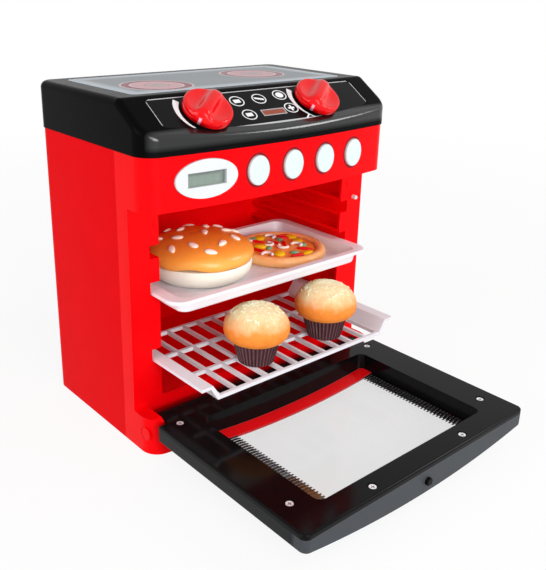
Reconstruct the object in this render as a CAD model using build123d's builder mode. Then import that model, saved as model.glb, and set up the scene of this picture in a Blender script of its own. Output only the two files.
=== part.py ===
"""Toy oven: red moulded case with a black hob, bowed drop-down door, tray, rack and play food.

The open side faces -Y, +Z is up, and the model stands on its rubber feet at z = 0. It is drawn
with the door open on its stop and the tray and rack drawn out. The origin is the middle of the
footprint that the oven and its open door take up. All sizes are in millimetres.
"""
from build123d import *
from math import atan2, cos, sin, sqrt
import os

os.makedirs("parts", exist_ok=True)

# ---- driving dimensions: case --------------------------------------------------------------------
case_width = 236.0
case_depth = 146.0
header_height = 38.0  # red header above the closed door
hob_height = 35.0  # black hob cover above the red case
foot_height = 1.5
foot_radius = 8.0
wall = 2.5
case_bow = 8.0  # how far the front bulges between its corners
front_corner = 14.0
back_corner = 10.0
seam_depth = 36.0  # front frame and rear shell meet this far behind the front corners
recess_depth = 22.0  # the door closes into this recess
recess_bottom = 31.0
recess_top = 187.0
fit_gap = 0.3  # between moulded pieces that drop into each other
running_gap = 0.06  # between a shaft and its hole

# ---- oven cavity ---------------------------------------------------------------------------------
jamb_width = 25.0  # from the mouth of the oven to the side of the case
sill_height = 5.0  # from the bottom of the recess to the mouth
lintel_height = 7.0  # from the mouth to the top of the recess
dimple_radius = 1.6
dimple_inset = 5.0  # beside the mouth
dimple_drop = 15.0  # below the top of the recess
dimple_rise = 10.0  # above its bottom
slot_reach = 8.0  # how far the shelf slots widen the opening on each side
slot_height = 10.0
rack_level = 66.0
tray_level = 119.0
top_level = 147.0
shelf_levels = (rack_level, tray_level, top_level)
liner_wall = 2.0
liner_depth = 118.0  # recess plane to the inside of the back wall
rail_thickness = 2.5

# ---- door ----------------------------------------------------------------------------------------
pivot_back = 8.0  # hinge axis behind the front corners
pivot_height = 18.0
face_gap = 0.6  # closed door to recess plane
door_side_gap = 2.5
tip_gap = 3.0  # closed door to header
door_edge_thickness = 13.5
door_bow = 9.5
door_wall = 2.5
door_corner = 5.0
frame_thickness = 4.0
barrel_radius = 12.0
barrel_gap = 0.8
cheek_thickness = 11.0
pin_radius = 3.0
pin_head_radius = 5.5
pin_head_thickness = 1.2
pin_reach = 10.0  # pin length inside the barrel
window_half = 86.0
window_rear = 19.0  # window's rear edge, forward of the front corners
window_tip_margin = 18.0  # window's front edge to the tip of the door
window_corner = 7.0
window_ledge = 2.0
skirt_wall = 2.0
pane_thickness = 1.6
door_screw_radius = 2.6
door_screw_shank = 1.4
door_post_radius = 4.0
latch_radius = 3.0
screw_side_inset = 14.5  # door screws, inside the door's sides
screw_rear_row = 12.5  # forward of the front corners
screw_front_row = 29.0  # behind the tip
screw_tip_row = 8.0  # behind the tip
screw_tip_half = 48.0
latch_out = 2.5

# ---- shelves and food ----------------------------------------------------------------------------
shelf_gap = 1.0  # shelf lip to liner wall and slot end
shelf_lift = 0.3  # shelf lip above its rail
shelf_depth = 112.0
shelf_home = 3.0  # behind the recess plane when pushed in
tray_out = 30.0  # in front of the recess plane as drawn
rack_out = 60.0
tray_wall = 2.0
tray_drop = 9.5
lip_thickness = 2.5
tray_corner = 12.0
bar_thickness = 3.0
bar_width = 2.6
rack_columns = 11
rack_rows = 3
rack_drop = 10.0
burger_radius = 43.0
bun_height = 20.0
filling_height = 15.0
pizza_radius = 39.0
pizza_height = 8.0
cake_radius = 25.0
cake_height = 28.0
cup_top_radius = 18.0
cup_bottom_radius = 13.5
cup_height = 17.5
cup_flutes = 36

# ---- hob and console -----------------------------------------------------------------------------
slope_run = 30.0
rim_height = 15.0
hob_edge_radius = 5.0
rim_edge_radius = 5.0  # where the slope turns down into the rim
hob_panel_inset = 17.0  # from the sides of the case
hob_panel_near = 38.0
hob_panel_back = 13.0  # from the back of the case
hob_panel_thickness = 1.2
panel_recess = 1.0
console_inset = 19.0
console_top = 3.0  # console edges measured down the slope from its upper edge
console_side = 31.0
console_bow = 9.0
console_recess = 1.6
console_thickness = 1.0
knob_spacing = 105.0
knob_middle_x = -6.5
knob_down = 22.0
knob_radius = 18.0
knob_height = 11.5
knob_crown = 1.2  # rise of the top between its shoulders
knob_shoulder = 2.5
scoop_radius = 13.0  # hollows for the fingers, on each side of the grip ridge
scoop_offset = 15.5
scoop_floor = 5.5  # above the underside
grip_turn = 38.5  # from the width of the oven, with the pointer end at the lower left
knob_lift = 0.6
shaft_radius = 3.0
shaft_length = 16.0
switch_size = 16.0
switch_height = 9.0

# ---- header controls -----------------------------------------------------------------------------
control_lift = 1.0  # display and buttons above the middle of the header
bezel_x = -71.0
bezel_half_width = 25.0
bezel_half_height = 13.6
bezel_proud = 1.2
lcd_width = 31.0
lcd_height = 10.0
lcd_sink = 0.6
glass_thickness = 1.5
bezel_to_button = 44.0
button_pitch = 33.5
button_count = 4
button_half_width = 9.3
button_half_height = 10.9
button_proud = 2.2
button_travel = 2.0
button_back = 4.0  # back of the buttons, behind the front corners
button_flange = 1.5
keypad_thickness = 2.0
board_thickness = 1.6
board_height = 27.0
board_margin = 4.0  # board beyond its end posts
board_post_radius = 3.5
left_post_inset = 14.0
right_post_inset = 24.0
switch_pin_inset = 10.0
switch_pin_drop = 28.0  # below the top of the recess
switch_pin_radius = 1.8
switch_pin_out = 4.0
keypad_margin = 2.0
keypad_height = 26.0

# ---- electrics in the base -----------------------------------------------------------------------
base_thickness = 2.5
battery_radius = 7.0
battery_length = 50.0
battery_count = 3
battery_pitch = 15.0
battery_wall = 1.5
battery_room = 3.0  # contact space at each end of the batteries
speaker_radius = 18.0
speaker_height = 8.0
speaker_inset = 42.0  # from the right side
speaker_slot_length = 22.0
speaker_slot_width = 2.0
speaker_slot_pitch = 5.0
bay_x = -22.0
electrics_behind = 88.0  # battery bay and speaker, behind the front corners
cover_screw_behind = 6.0  # from the battery bay to its cover's screw
cover_boss_height = 5.0
cover_lip = 2.0
screw_head_radius = 3.0
screw_shank_radius = 1.5
screw_length = 10.0
case_screw_inset = 8.7
case_screw_levels = (40.0, 197.0)
case_boss_radius = 4.5

# ---- worked out from the above -------------------------------------------------------------------
case_top = recess_top + header_height
oven_height = case_top + hob_height
control_height = (recess_top + case_top) / 2 + control_lift
pivot_to_tip = recess_top - tip_gap - pivot_height
door_reach = pivot_to_tip - pivot_back + latch_out
front = (door_reach - case_depth) / 2
back = front + case_depth
half_width = case_width / 2
opening_half = half_width - jamb_width
opening_bottom = recess_bottom + sill_height
opening_top = recess_top - lintel_height
pivot_y = front + pivot_back
recess_y = front + recess_depth
seam_y = front + seam_depth
jamb_back = recess_y + wall
door_face = pivot_height + recess_depth - pivot_back - face_gap
door_under = door_face - door_edge_thickness
shell_top = door_face - frame_thickness
door_half = half_width - door_side_gap
door_tip = pivot_y - pivot_to_tip
door_rear = pivot_y - (recess_bottom - pivot_height + 1.5)
cheek_inner = half_width - cheek_thickness
barrel_half = cheek_inner - 0.5
liner_half = opening_half + slot_reach
lip_half = liner_half - shelf_gap
liner_back = recess_y + liner_depth
far = 2 * (case_depth + door_reach)


def block(low, high, mode=Mode.ADD):
    """Box between two opposite corners."""
    size = [b - a for a, b in zip(low, high)]
    centre = tuple((a + b) / 2 for a, b in zip(low, high))
    with Locations(centre):
        Box(*size, mode=mode)


def case_plan(inset):
    """Footprint of the case: bowed front, straight sides and back, rounded corners."""
    side = half_width - inset
    near = front + inset
    rear = back - inset
    with BuildSketch() as plan:
        with BuildLine():
            ThreePointArc((-side, near), (0, near - case_bow), (side, near))
            Polyline((side, near), (side, rear), (-side, rear), (-side, near))
        make_face()
        corners = plan.vertices().group_by(Axis.Y)
        fillet(corners[-1], back_corner - inset)
        fillet(plan.vertices().filter_by_position(Axis.Y, near - 1, near + 1), front_corner - inset)
    return plan.sketch


def bow_region(half, edge, sag, top):
    """Section across the door: flat top and a bowed underside (x, z)."""
    with BuildSketch() as region:
        with BuildLine():
            ThreePointArc((-half, edge), (0, edge - sag), (half, edge))
            Polyline((half, edge), (half, top), (-half, top), (-half, edge))
        make_face()
    return region.sketch


def across(y):
    """Plane that looks along +Y, with its drawing in x and z, standing at y."""
    return Plane.XZ.offset(-y)


def door_bottom(x):
    """Height of the door's bowed underside at x, with the door open."""
    radius = (door_half**2 + door_bow**2) / (2 * door_bow)
    return door_under - door_bow + radius - sqrt(radius**2 - x**2)


def finish(piece, name):
    """Labels a piece and writes it out."""
    piece.part.label = name
    export_step(piece.part, f"parts/{name}.step")


outer_plan = case_plan(0)
inner_plan = case_plan(wall)

# ---- front frame: header, recessed jambs, cheeks and kick ----------------------------------------
screw_places = [
    (side * (half_width - case_screw_inset), height) for side in (-1, 1) for height in case_screw_levels
]
dimple_levels = (recess_bottom + dimple_rise, recess_top - dimple_drop)
left_post_x = left_post_inset - half_width
right_post_x = half_width - right_post_inset
switch_pin_x = half_width - switch_pin_inset
switch_pin_z = recess_top - switch_pin_drop
button_first_x = bezel_x + bezel_to_button
button_places = [(button_first_x + i * button_pitch, control_height) for i in range(button_count)]
board_near = front + button_back + button_travel + fit_gap + keypad_thickness
post_places = [(x, control_height) for x in (left_post_x, right_post_x)]

with BuildPart() as front_frame:
    with BuildSketch(Plane.XY.offset(foot_height)):
        add(outer_plan)
    extrude(amount=case_top - foot_height)
    block((-far, seam_y, -far), (far, far, far), mode=Mode.SUBTRACT)
    # recess that the closed door fills
    block((-far, -far, recess_bottom), (far, recess_y, recess_top), mode=Mode.SUBTRACT)
    # hollow header, open at the top and the rear
    with BuildSketch(Plane.XY.offset(recess_top + wall)):
        add(inner_plan)
    extrude(amount=case_top, mode=Mode.SUBTRACT)
    # hollow behind the jambs
    inside = half_width - wall
    block((-inside, jamb_back, -far), (inside, far, recess_top + 2 * wall), mode=Mode.SUBTRACT)
    # mouth of the oven, with a slot on each side at every shelf level
    with BuildSketch(across(recess_y - 1)) as mouth:
        with Locations((0, (opening_bottom + opening_top) / 2)):
            Rectangle(2 * opening_half, opening_top - opening_bottom)
        with Locations(*[(0, level + slot_height / 2) for level in shelf_levels]):
            Rectangle(2 * (opening_half + slot_reach), slot_height)
    extrude(amount=-(wall + 2), mode=Mode.SUBTRACT)
    # space for the door's hinge barrel and web between the cheeks
    block((-cheek_inner, -far, pivot_height), (cheek_inner, recess_y, recess_bottom + 1),
          mode=Mode.SUBTRACT)
    with BuildSketch(Plane.YZ):
        with Locations((pivot_y, pivot_height)):
            Circle(barrel_radius + barrel_gap)
    extrude(amount=cheek_inner, both=True, mode=Mode.SUBTRACT)
    # kick top follows the bowed underside of the open door
    with BuildSketch(across(pivot_y)) as under_door:
        add(bow_region(door_half, door_under - 1, door_bow, recess_bottom + 1))
        Rectangle(2 * cheek_inner, 2 * far, mode=Mode.INTERSECT)
    extrude(amount=far, mode=Mode.SUBTRACT)
    # cheek corners are rounded about the hinge axis, clear of the door's side strips
    with BuildSketch(Plane.YZ) as cheek_corner:
        with Locations((pivot_y - far / 2, pivot_height + far / 2)):
            Rectangle(far, far)
        with Locations((pivot_y, recess_bottom + far / 2)):
            Rectangle(far * 2, far, mode=Mode.SUBTRACT)
        with Locations((pivot_y, pivot_height)):
            Circle(recess_bottom - pivot_height + 1, mode=Mode.SUBTRACT)
    extrude(amount=half_width, both=True, mode=Mode.SUBTRACT)
    # hinge pin holes with a seat for the pin head
    with Locations(Plane.YZ):
        with Locations((pivot_y, pivot_height)):
            Cylinder(pin_radius, far, mode=Mode.SUBTRACT)
    for side in (-1, 1):
        seat = Plane((side * half_width, pivot_y, pivot_height), z_dir=(-side, 0, 0))
        with Locations(seat):
            Cylinder(pin_head_radius, pin_head_thickness, align=(Align.CENTER, Align.CENTER, Align.MIN),
                     mode=Mode.SUBTRACT)
    # display and button holes through the bowed header
    with BuildSketch(across(seam_y)):
        with Locations((bezel_x, control_height)):
            Ellipse(bezel_half_width + fit_gap / 2, bezel_half_height + fit_gap / 2)
        with Locations(*button_places):
            Ellipse(button_half_width + fit_gap, button_half_height + fit_gap)
    extrude(amount=far, mode=Mode.SUBTRACT)
    # posts that carry the circuit board
    for x, z in post_places:
        inner_face = front - case_bow * (1 - (x / half_width) ** 2) + wall / 2
        with BuildSketch(across(board_near)):
            with Locations((x, z)):
                Circle(board_post_radius)
                Circle(screw_shank_radius, mode=Mode.SUBTRACT)
        extrude(amount=board_near - inner_face)
    # bosses for the case screws
    with BuildSketch(across(seam_y)):
        with Locations(*screw_places):
            Circle(case_boss_radius)
            Circle(screw_shank_radius, mode=Mode.SUBTRACT)
    extrude(amount=seam_y - recess_y - wall / 2)
    # hole of the door switch pin, and two ejector dimples on each jamb
    with BuildSketch(across(seam_y)):
        with Locations((switch_pin_x, switch_pin_z)):
            Circle(switch_pin_radius + running_gap)
    extrude(amount=seam_depth, mode=Mode.SUBTRACT)
    with BuildSketch(across(recess_y + 0.6)):
        with Locations(*[(side * (opening_half + dimple_inset), z) for side in (-1, 1) for z in dimple_levels]):
            Circle(dimple_radius)
    extrude(amount=1, mode=Mode.SUBTRACT)
finish(front_frame, "front_frame")

# ---- rear shell: sides and back in one, with deep screw tubes ------------------------------------
with BuildPart() as rear_shell:
    with BuildSketch(Plane.XY.offset(foot_height)):
        add(outer_plan)
        add(inner_plan, mode=Mode.SUBTRACT)
    extrude(amount=case_top - foot_height)
    block((-far, -far, -far), (far, seam_y, far), mode=Mode.SUBTRACT)
    with BuildSketch(across(back - wall / 2)):
        with Locations(*screw_places):
            Circle(case_boss_radius)
    extrude(amount=back - wall / 2 - seam_y)
    with BuildSketch(Plane.XY.offset(foot_height)):
        add(outer_plan)
    extrude(amount=case_top - foot_height, mode=Mode.INTERSECT)
    with BuildSketch(across(back)):
        with Locations(*screw_places):
            Circle(screw_head_radius + fit_gap)
    extrude(amount=back - seam_y - 2 * wall, mode=Mode.SUBTRACT)
    with BuildSketch(across(back)):
        with Locations(*screw_places):
            Circle(screw_shank_radius + fit_gap)
    extrude(amount=case_depth, mode=Mode.SUBTRACT)
finish(rear_shell, "rear_shell")

with BuildPart() as case_screws:
    for x, z in screw_places:
        with BuildSketch(across(seam_y + 2 * wall + 2)):
            with Locations((x, z)):
                Circle(screw_head_radius)
        extrude(amount=2)
        with BuildSketch(across(seam_y + 2 * wall)):
            with Locations((x, z)):
                Circle(screw_shank_radius)
        extrude(amount=screw_length + 2)
finish(case_screws, "case_screws")

# ---- oven liner: a box with three pairs of shelf rails -------------------------------------------
with BuildPart() as oven_liner:
    block(
        (-liner_half - liner_wall, jamb_back, opening_bottom - liner_wall),
        (liner_half + liner_wall, liner_back + liner_wall, opening_top + liner_wall),
    )
    block((-liner_half, -far, opening_bottom), (liner_half, liner_back, opening_top), mode=Mode.SUBTRACT)
    for level in shelf_levels:
        for low in (level - rail_thickness, level + slot_height):
            for side in (-1, 1):
                inner, outer = sorted((side * opening_half, side * (liner_half + liner_wall / 2)))
                block((inner, jamb_back, low), (outer, liner_back + liner_wall / 2, low + rail_thickness))
finish(oven_liner, "oven_liner")

# ---- base plate with battery bay and speaker slots -----------------------------------------------
base_top = foot_height + base_thickness
bay_y = front + electrics_behind
bay_length = battery_length + 2 * battery_room
bay_width = battery_count * battery_pitch + 1
cover_thickness = base_thickness - 1.0
speaker_x = half_width - speaker_inset
speaker_y = front + electrics_behind
cover_screw_y = bay_y - bay_width / 2 - cover_screw_behind

with BuildPart() as base_plate:
    with BuildSketch(Plane.XY.offset(foot_height)):
        add(case_plan(wall + fit_gap))
    extrude(amount=base_thickness)
    block((-far, -far, -far), (far, jamb_back + fit_gap, far), mode=Mode.SUBTRACT)
    with Locations((bay_x, bay_y, base_top)):
        Box(bay_length, bay_width, far, mode=Mode.SUBTRACT)
    with BuildSketch(Plane.XY.offset(foot_height)):
        with Locations((bay_x, bay_y - cover_lip * 2)):
            RectangleRounded(bay_length + 4 * cover_lip, bay_width + 10 * cover_lip, 4)
    extrude(amount=cover_thickness, mode=Mode.SUBTRACT)
    with BuildSketch(Plane.XY.offset(base_top)):
        with Locations((bay_x, cover_screw_y)):
            Circle(case_boss_radius)
    extrude(amount=cover_boss_height)
    with BuildSketch(Plane.XY.offset(foot_height)):
        with Locations((bay_x, cover_screw_y)):
            Circle(screw_shank_radius)
    extrude(amount=far, mode=Mode.SUBTRACT)
    with BuildSketch(Plane.XY.offset(foot_height)):
        with Locations((speaker_x, speaker_y)):
            with GridLocations(1, speaker_slot_pitch, 1, 5):
                SlotOverall(speaker_slot_length, speaker_slot_width)
    extrude(amount=base_thickness, mode=Mode.SUBTRACT)
finish(base_plate, "base_plate")

with BuildPart() as battery_cover:
    with BuildSketch(Plane.XY.offset(foot_height)):
        with Locations((bay_x, bay_y - cover_lip * 2)):
            RectangleRounded(
                bay_length + 4 * cover_lip - 2 * fit_gap, bay_width + 10 * cover_lip - 2 * fit_gap, 4
            )
    extrude(amount=cover_thickness)
    with Locations((bay_x, cover_screw_y, foot_height)):
        Cylinder(screw_head_radius + fit_gap, 1.6, mode=Mode.SUBTRACT)
        Cylinder(screw_shank_radius + fit_gap, far, mode=Mode.SUBTRACT)
finish(battery_cover, "battery_cover")

with BuildPart() as cover_screw:
    with BuildSketch(Plane.XY.offset(foot_height)):
        with Locations((bay_x, cover_screw_y)):
            Circle(screw_head_radius)
    extrude(amount=0.7)
    with BuildSketch(Plane.XY.offset(foot_height)):
        with Locations((bay_x, cover_screw_y)):
            Circle(screw_shank_radius)
    extrude(amount=6)
finish(cover_screw, "cover_screw")

battery_z = base_top + fit_gap + battery_radius
bay_height = 2 * battery_radius + 2 * fit_gap
with BuildPart() as battery_box:
    with Locations((bay_x, bay_y, base_top)):
        Box(
            bay_length + 2 * battery_wall, bay_width + 2 * battery_wall, bay_height + battery_wall,
            align=(Align.CENTER, Align.CENTER, Align.MIN),
        )
        Box(bay_length, bay_width, bay_height, align=(Align.CENTER, Align.CENTER, Align.MIN),
            mode=Mode.SUBTRACT)
finish(battery_box, "battery_box")

with BuildPart() as batteries:
    for i in range(battery_count):
        y = bay_y + (i - (battery_count - 1) / 2) * battery_pitch
        turn = 1 if i % 2 else -1
        with BuildSketch(Plane((bay_x - turn * battery_length / 2, y, battery_z), z_dir=(turn, 0, 0))):
            Circle(battery_radius)
        extrude(amount=battery_length - 1)
        with BuildSketch(Plane((bay_x - turn * battery_length / 2, y, battery_z), z_dir=(turn, 0, 0))):
            Circle(2.7)
        extrude(amount=battery_length)
finish(batteries, "batteries")

with BuildPart() as battery_contacts:
    for side in (-1, 1):
        inner = bay_x + side * (battery_length / 2 + 0.2)
        outer = bay_x + side * bay_length / 2
        for i in range(battery_count):
            y = bay_y + (i - (battery_count - 1) / 2) * battery_pitch
            low_x, high_x = sorted((inner, outer))
            block((outer - 0.25 if side > 0 else outer, y - 4.5, base_top + 2),
                  (outer if side > 0 else outer + 0.25, y + 4.5, base_top + 12))
            with Locations(Plane((inner, y, battery_z), z_dir=(side, 0, 0))):
                Cone(2.2, 3.6, high_x - low_x, align=(Align.CENTER, Align.CENTER, Align.MIN))
finish(battery_contacts, "battery_contacts")

with BuildPart() as speaker:
    with Locations((speaker_x, speaker_y, base_top)):
        Cylinder(speaker_radius, 3, align=(Align.CENTER, Align.CENTER, Align.MIN))
        Cone(speaker_radius - 2, 8, speaker_height - 2, align=(Align.CENTER, Align.CENTER, Align.MIN))
        Cylinder(8, speaker_height, align=(Align.CENTER, Align.CENTER, Align.MIN))
finish(speaker, "speaker")

with BuildPart() as rubber_feet:
    for x in (-half_width + 22, half_width - 22):
        for y in (front + 13, back - 20):
            with Locations((x, y, 0)):
                Cylinder(foot_radius, foot_height, align=(Align.CENTER, Align.CENTER, Align.MIN))
    fillet(rubber_feet.edges().filter_by(GeomType.CIRCLE).group_by(Axis.Z)[0], 0.5)
finish(rubber_feet, "rubber_feet")

# ---- black hob cover with its sloping console ----------------------------------------------------
hob_overhang = 0.8
slope_angle = atan2(oven_height - case_top - rim_height, slope_run)
slope_plane = Plane(
    (0, front + slope_run, oven_height), x_dir=(1, 0, 0), z_dir=(0, -sin(slope_angle), cos(slope_angle))
)
knob_places = [(knob_middle_x + side * knob_spacing / 2, -knob_down) for side in (-1, 1)]
hob_panel_half = half_width - hob_panel_inset
hob_panel_depth = case_depth - hob_panel_back - hob_panel_near
hob_panel_y = front + hob_panel_near + hob_panel_depth / 2
console_half = half_width - console_inset
burner_places = [(-60.0, front + 70.0), (48.0, front + 90.0)]


def hob_form(inset, low):
    """Outer or inner form of the hob cover: case outline with a flat slope along the front."""
    with BuildPart() as form:
        with BuildSketch(Plane.XY.offset(low)):
            add(case_plan(inset - hob_overhang))
        extrude(amount=oven_height - inset - low)
        split(bisect_by=slope_plane.offset(-inset), keep=Keep.BOTTOM)
    return form.part


def console_outline(shrink):
    """Console panel outline on the slope: straight along the top, bowed along the rim."""
    side = console_half - shrink
    top = -console_top - shrink
    low = -console_side + shrink
    with BuildSketch() as outline:
        with BuildLine():
            ThreePointArc((-side, low), (0, low - console_bow), (side, low))
            Polyline((side, low), (side, top), (-side, top), (-side, low))
        make_face()
        fillet(outline.vertices(), 4)
    return outline.sketch


hob_core = hob_form(wall, case_top - 1)
slope_normal = Axis((0, front, case_top), slope_plane.z_dir)
with BuildPart() as hob_cover:
    add(hob_form(0, case_top))
    slope_face = hob_cover.faces().sort_by(slope_normal)[-1]
    fillet(slope_face.edges().group_by(Axis.Z)[0], rim_edge_radius)
    fillet(hob_cover.faces().sort_by(Axis.Z)[-1].edges(), hob_edge_radius)
    add(hob_core, mode=Mode.SUBTRACT)
    with BuildSketch(Plane.XY.offset(oven_height)):
        with Locations((0, hob_panel_y)):
            RectangleRounded(2 * hob_panel_half, hob_panel_depth, 5)
    extrude(amount=-panel_recess, mode=Mode.SUBTRACT)
    with BuildSketch(slope_plane):
        add(console_outline(0))
    extrude(amount=-console_recess, mode=Mode.SUBTRACT)
    with BuildSketch(slope_plane):
        with Locations(*knob_places):
            Circle(shaft_radius + running_gap)
    extrude(amount=-2 * wall, mode=Mode.SUBTRACT)
finish(hob_cover, "hob_cover")

with BuildPart() as hob_panel:
    with BuildSketch(Plane.XY.offset(oven_height - panel_recess)):
        with Locations((0, hob_panel_y)):
            RectangleRounded(2 * (hob_panel_half - 0.2), hob_panel_depth - 0.4, 4.8)
    extrude(amount=hob_panel_thickness)
    chamfer(hob_panel.faces().sort_by(Axis.Z)[-1].edges(), 0.2)
finish(hob_panel, "hob_panel")

with BuildPart() as burner_lights:
    with Locations(*[(x, y, oven_height - wall) for x, y in burner_places]):
        Cylinder(9, 2, align=(Align.CENTER, Align.CENTER, Align.MAX))
        with Locations((0, 0, -2)):
            Cylinder(3, 4, align=(Align.CENTER, Align.CENTER, Align.MAX))
finish(burner_lights, "burner_lights")

with BuildPart() as console_panel:
    with BuildSketch(slope_plane.offset(-console_recess)):
        add(console_outline(fit_gap))
        with Locations(*knob_places):
            Circle(shaft_radius + 0.5, mode=Mode.SUBTRACT)
    extrude(amount=console_thickness)
finish(console_panel, "console_panel")

# ---- knobs, their shafts and the switches behind them --------------------------------------------
knob_base = slope_plane.offset(knob_lift)
grip_way = Vector(1, 0, 0).rotate(Axis.Z, grip_turn)
grip_side = Vector(0, 1, 0).rotate(Axis.Z, grip_turn)


def knob_plane(place, height=0.0):
    """Plane of a knob's underside, raised by height along its axis."""
    centre = knob_base.from_local_coords((place[0], place[1], height))
    return Plane(centre, x_dir=(1, 0, 0), z_dir=slope_plane.z_dir)


for hand, place in zip(("left", "right"), knob_places):
    with BuildPart() as knob:
        with BuildSketch(Plane.XZ):
            with BuildLine():
                shoulder_z = knob_height - knob_crown
                Polyline((0, knob_height), (0, 0), (knob_radius, 0), (knob_radius, shoulder_z - knob_shoulder))
                RadiusArc(
                    (knob_radius, shoulder_z - knob_shoulder), (knob_radius - knob_shoulder, shoulder_z),
                    -knob_shoulder,
                )
                ThreePointArc(
                    (knob_radius - knob_shoulder, shoulder_z),
                    (knob_radius / 2, shoulder_z + knob_crown * 0.7), (0, knob_height),
                )
            make_face()
        revolve(axis=Axis.Z)
        # finger hollows leave a grip ridge across the top
        for side in (-1, 1):
            scoop = Plane(
                grip_side * side * scoop_offset + Vector(0, 0, scoop_floor + scoop_radius), z_dir=grip_way
            )
            with Locations(scoop):
                Cylinder(scoop_radius, 4 * knob_radius, mode=Mode.SUBTRACT)
        fillet(knob.edges().filter_by(lambda e: e.center().Z > scoop_floor + 0.5).filter_by(
            lambda e: e.length > knob_radius), 0.8)
        Cylinder(shaft_radius, 8, align=(Align.CENTER, Align.CENTER, Align.MIN), mode=Mode.SUBTRACT)
    placed = knob_plane(place).location * knob.part
    placed.label = f"knob_{hand}"
    export_step(placed, f"parts/knob_{hand}.step")

    with BuildPart() as knob_shaft:
        with BuildSketch(knob_plane(place, 8)):
            Circle(shaft_radius)
        extrude(amount=-shaft_length - 6)
    finish(knob_shaft, f"knob_shaft_{hand}")

    with BuildPart() as knob_switch:
        with BuildSketch(knob_plane(place, -knob_lift - wall)):
            RectangleRounded(switch_size, switch_size, 2)
            Circle(shaft_radius + running_gap, mode=Mode.SUBTRACT)
        extrude(amount=-switch_height)
        with BuildSketch(knob_plane(place, -knob_lift - wall - switch_height)):
            Circle(switch_size / 2)
        extrude(amount=-4)
        with BuildSketch(knob_plane(place, -knob_lift - wall)):
            Circle(shaft_radius + running_gap)
        extrude(amount=-shaft_length, mode=Mode.SUBTRACT)
    finish(knob_switch, f"knob_switch_{hand}")

# ---- display and buttons -------------------------------------------------------------------------
with BuildPart() as bowed_face:
    with BuildSketch(Plane.XY):
        add(case_plan(-bezel_proud))
    extrude(amount=case_top)
with BuildPart() as glass_face:
    with BuildSketch(Plane.XY):
        add(case_plan(lcd_sink - bezel_proud))
    extrude(amount=case_top)
with BuildPart() as glass_back:
    with BuildSketch(Plane.XY):
        add(case_plan(lcd_sink - bezel_proud + glass_thickness))
    extrude(amount=case_top)
with BuildPart() as button_face:
    with BuildSketch(Plane.XY):
        add(case_plan(-button_proud))
    extrude(amount=case_top)

bezel_back = front + button_back - 1
with BuildPart() as display_bezel:
    with BuildSketch(across(bezel_back)):
        with Locations((bezel_x, control_height)):
            Ellipse(bezel_half_width, bezel_half_height)
            Rectangle(lcd_width, lcd_height, mode=Mode.SUBTRACT)
    extrude(amount=4 * case_bow)
    add(bowed_face.part, mode=Mode.INTERSECT)
finish(display_bezel, "display_bezel")

with BuildPart() as display_glass:
    with BuildSketch(across(bezel_back)):
        with Locations((bezel_x, control_height)):
            Rectangle(lcd_width - 0.2, lcd_height - 0.2)
    extrude(amount=4 * case_bow)
    add(glass_face.part, mode=Mode.INTERSECT)
    add(glass_back.part, mode=Mode.SUBTRACT)
finish(display_glass, "display_glass")

with BuildPart() as display_module:
    with BuildSketch(across(bezel_back + 0.1)):
        with Locations((bezel_x, control_height)):
            Rectangle(lcd_width - 0.4, lcd_height - 0.4)
    extrude(amount=4 * case_bow)
    add(glass_back.part, mode=Mode.INTERSECT)
    with BuildSketch(across(board_near)):
        with Locations((bezel_x, control_height)):
            Rectangle(lcd_width + 8, lcd_height + 8)
    extrude(amount=board_near - bezel_back - 0.1)
finish(display_module, "display_module")

for number, (x, z) in enumerate(button_places, start=1):
    with BuildPart() as button:
        with BuildSketch(across(front + button_back)):
            with Locations((x, z)):
                Ellipse(button_half_width, button_half_height)
        extrude(amount=4 * case_bow)
        add(button_face.part, mode=Mode.INTERSECT)
        fillet(button.faces().sort_by(Axis.Y)[0].edges(), 1.2)
        with BuildSketch(across(front + button_back)):
            with Locations((x, z)):
                Ellipse(button_half_width + button_flange, button_half_height + button_flange)
        extrude(amount=button_flange)
    finish(button, f"button_{number}")

keypad_left = button_places[0][0] - button_half_width - keypad_margin
keypad_right = button_places[-1][0] + button_half_width + keypad_margin
with BuildPart() as keypad:
    block(
        (keypad_left, board_near - keypad_thickness, control_height - keypad_height / 2),
        (keypad_right, board_near, control_height + keypad_height / 2),
    )
finish(keypad, "keypad")

with BuildPart() as circuit_board:
    block(
        (left_post_x - board_margin, board_near, control_height - board_height / 2),
        (right_post_x + board_margin, board_near + board_thickness, control_height + board_height / 2),
    )
    with BuildSketch(across(board_near + board_thickness)):
        with Locations(*post_places):
            Circle(screw_shank_radius + fit_gap)
    extrude(amount=board_thickness, mode=Mode.SUBTRACT)
    block((-30, board_near + board_thickness, control_height - 7),
          (-12, board_near + board_thickness + 2, control_height + 7))
finish(circuit_board, "circuit_board")

with BuildPart() as board_screws:
    for x, z in post_places:
        with BuildSketch(across(board_near + board_thickness + 1.8)):
            with Locations((x, z)):
                Circle(screw_head_radius)
        extrude(amount=1.8)
        with BuildSketch(across(board_near + board_thickness)):
            with Locations((x, z)):
                Circle(screw_shank_radius)
        extrude(amount=7)
finish(board_screws, "board_screws")

with BuildPart() as door_switch_pin:
    with BuildSketch(across(jamb_back + 8)):
        with Locations((switch_pin_x, switch_pin_z)):
            Circle(switch_pin_radius)
    extrude(amount=wall + 8 + switch_pin_out)
    fillet(door_switch_pin.faces().sort_by(Axis.Y)[0].edges(), 0.8)
finish(door_switch_pin, "door_switch_pin")

with BuildPart() as door_switch:
    block(
        (switch_pin_x - 4.5, jamb_back, switch_pin_z - 5),
        (switch_pin_x + 4.5, jamb_back + 14, switch_pin_z + 5),
    )
    with BuildSketch(across(jamb_back + 12.5)):
        with Locations((switch_pin_x, switch_pin_z)):
            Circle(switch_pin_radius + running_gap)
    extrude(amount=12.5, mode=Mode.SUBTRACT)
finish(door_switch, "door_switch")

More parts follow.
